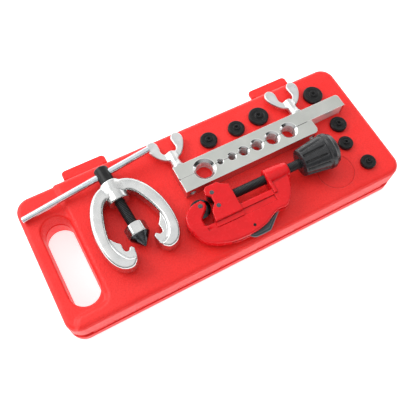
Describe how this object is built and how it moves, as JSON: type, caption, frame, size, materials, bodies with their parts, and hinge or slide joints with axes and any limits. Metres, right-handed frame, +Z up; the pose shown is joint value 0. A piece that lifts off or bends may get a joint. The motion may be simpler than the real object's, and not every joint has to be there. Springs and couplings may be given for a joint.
{
  "type": "flaring tool kit",
  "caption": "Tube flaring kit: screw yoke with 45-degree cone, split clamp bar, tube cutter and flaring adapters lying on their red moulded case.",
  "frame": {"origin": "centre of the case's flat underside", "axes": "+X along the case away from its hand slot, +Y towards the latches, +Z up through the lid"},
  "size_m": [0.341, 0.1508, 0.0744],
  "materials": {
    "case_red": "blow-moulded red polyethylene, fine grain",
    "zinc_steel": "bright zinc-plated wire",
    "chrome": "bright chrome over a forging, softly polished",
    "bar_steel": "satin chrome on a milled bar",
    "black_oxide": "oiled black oxide on steel",
    "dark_steel": "hardened ground steel, dark grey",
    "red_enamel": "glossy red enamel on a zinc casting",
    "black_plastic": "satin black moulded plastic",
    "blade_grey": "phosphated grey-black steel"
  },
  "bodies": {
    "case": {"case_base": "case_red", "hinge_pin": "zinc_steel"},
    "lid": {"case_lid": "case_red", "latch_pins": "zinc_steel"},
    "latch_left": {"latch_left": "case_red"},
    "latch_right": {"latch_right": "case_red"},
    "yoke": {"yoke_frame": "chrome"},
    "cone": {"flaring_cone": "dark_steel", "cone_collar": "chrome", "screw_head": "black_oxide"},
    "feed_screw": {"feed_screw": "black_oxide"},
    "t_bar": {"t_bar": "zinc_steel"},
    "bar": {"bar_rear": "bar_steel", "clamp_studs": "zinc_steel"},
    "bar_front": {"bar_front": "bar_steel"},
    "wing_nut_left": {"wing_nut_left": "chrome"},
    "wing_nut_right": {"wing_nut_right": "chrome"},
    "cutter": {"cutter_frame": "red_enamel", "wheel_pin": "dark_steel", "reamer_pin": "black_oxide"},
    "cutter_slide": {"slide_block": "red_enamel", "roller_pins": "dark_steel"},
    "cutter_knob": {"knob": "black_plastic", "cutter_screw": "black_oxide"},
    "roller_upper": {"roller_upper": "dark_steel"},
    "roller_lower": {"roller_lower": "dark_steel"},
    "cutting_wheel": {"cutting_wheel": "dark_steel"},
    "reamer": {"reamer_blade": "blade_grey"},
    "adapter_1": {"adapter_1": "black_oxide"},
    "adapter_2": {"adapter_2": "black_oxide"},
    "adapter_3": {"adapter_3": "black_oxide"},
    "adapter_4": {"adapter_4": "black_oxide"},
    "adapter_5": {"adapter_5": "black_oxide"},
    "adapter_6": {"adapter_6": "black_oxide"},
    "adapter_7": {"adapter_7": "black_oxide"}
  },
  "joints": [
    {"name": "lid_hinge", "type": "hinge", "parent": "case", "child": "lid", "pos_m": [0, -0.0641, 0.017], "axis": [1, 0, 0], "range_deg": [0, 105]},
    {"name": "latch_left_hinge", "type": "hinge", "parent": "lid", "child": "latch_left", "pos_m": [-0.0975, 0.0702, 0.027], "axis": [1, 0, 0], "range_deg": [-90, 0]},
    {"name": "latch_right_hinge", "type": "hinge", "parent": "lid", "child": "latch_right", "pos_m": [0.1072, 0.0702, 0.027], "axis": [1, 0, 0], "range_deg": [-90, 0]},
    {"name": "yoke_lift", "type": "slide", "parent": "lid", "child": "yoke", "axis": [0, 0, 1], "range_m": [0, 0.15]},
    {"name": "cone_travel", "type": "slide", "parent": "yoke", "child": "cone", "axis": [0.0523, -0.9986, 0], "range_m": [-0.025, 0]},
    {"name": "screw_turn", "type": "hinge", "parent": "cone", "child": "feed_screw", "pos_m": [-0.087, 0.0494, 0.0503], "axis": [0.0523, -0.9986, 0], "range_deg": [-6001, 0]},
    {"name": "t_bar_slide", "type": "slide", "parent": "cone", "child": "t_bar", "axis": [0.9916, 0.052, 0.1184], "range_m": [-0.036, 0]},
    {"name": "bar_lift", "type": "slide", "parent": "lid", "child": "bar", "axis": [0, 0, 1], "range_m": [0, 0.15]},
    {"name": "bar_open", "type": "slide", "parent": "bar", "child": "bar_front", "axis": [0, -1, 0], "range_m": [0, 0.004]},
    {"name": "nut_left_turn", "type": "hinge", "parent": "bar", "child": "wing_nut_left", "pos_m": [-0.0225, 0.04, 0.04635], "axis": [0, 1, 0], "range_deg": [-10, 10]},
    {"name": "nut_right_turn", "type": "hinge", "parent": "bar", "child": "wing_nut_right", "pos_m": [0.1063, 0.04, 0.04635], "axis": [0, 1, 0], "range_deg": [-10, 10]},
    {"name": "cutter_lift", "type": "slide", "parent": "lid", "child": "cutter", "axis": [0, 0, 1], "range_m": [0, 0.15]},
    {"name": "cutter_travel", "type": "slide", "parent": "cutter", "child": "cutter_slide", "axis": [0.997, -0.0384, 0.0669], "range_m": [0, 0.015]},
    {"name": "knob_turn", "type": "hinge", "parent": "cutter_slide", "child": "cutter_knob", "pos_m": [-0.025, -0.02, 0.0486], "axis": [0.997, -0.0384, 0.0669], "range_deg": [0, 4321]},
    {"name": "roller_upper_spin", "type": "hinge", "parent": "cutter_slide", "child": "roller_upper", "pos_m": [-0.01018, -0.01376, 0.0496], "axis": [-0.067, 0, 0.9978], "continuous": true},
    {"name": "roller_lower_spin", "type": "hinge", "parent": "cutter_slide", "child": "roller_lower", "pos_m": [-0.0107, -0.02736, 0.04956], "axis": [-0.067, 0, 0.9978], "continuous": true},
    {"name": "wheel_spin", "type": "hinge", "parent": "cutter", "child": "cutting_wheel", "pos_m": [-0.025, -0.02, 0.0486], "axis": [-0.067, 0, 0.9978], "continuous": true},
    {"name": "reamer_fold", "type": "hinge", "parent": "cutter", "child": "reamer", "pos_m": [0.00852, -0.05732, 0.05085], "axis": [-0.067, 0, 0.9978], "range_deg": [-140, 0]},
    {"name": "adapter_1_lift", "type": "slide", "parent": "lid", "child": "adapter_1", "axis": [0, 0, 1], "range_m": [0, 0.15]},
    {"name": "adapter_2_lift", "type": "slide", "parent": "lid", "child": "adapter_2", "axis": [0, 0, 1], "range_m": [0, 0.15]},
    {"name": "adapter_3_lift", "type": "slide", "parent": "lid", "child": "adapter_3", "axis": [0, 0, 1], "range_m": [0, 0.15]},
    {"name": "adapter_4_lift", "type": "slide", "parent": "lid", "child": "adapter_4", "axis": [0, 0, 1], "range_m": [0, 0.15]},
    {"name": "adapter_5_lift", "type": "slide", "parent": "lid", "child": "adapter_5", "axis": [0, 0, 1], "range_m": [0, 0.15]},
    {"name": "adapter_6_lift", "type": "slide", "parent": "lid", "child": "adapter_6", "axis": [0, 0, 1], "range_m": [0, 0.15]},
    {"name": "adapter_7_lift", "type": "slide", "parent": "lid", "child": "adapter_7", "axis": [0, 0, 1], "range_m": [0, 0.15]}
  ],
  "couplings": [
    {"joint": "screw_turn", "follows": "cone_travel", "rad_per_m": 4188.8},
    {"joint": "knob_turn", "follows": "cutter_travel", "rad_per_m": 5026.5}
  ]
}
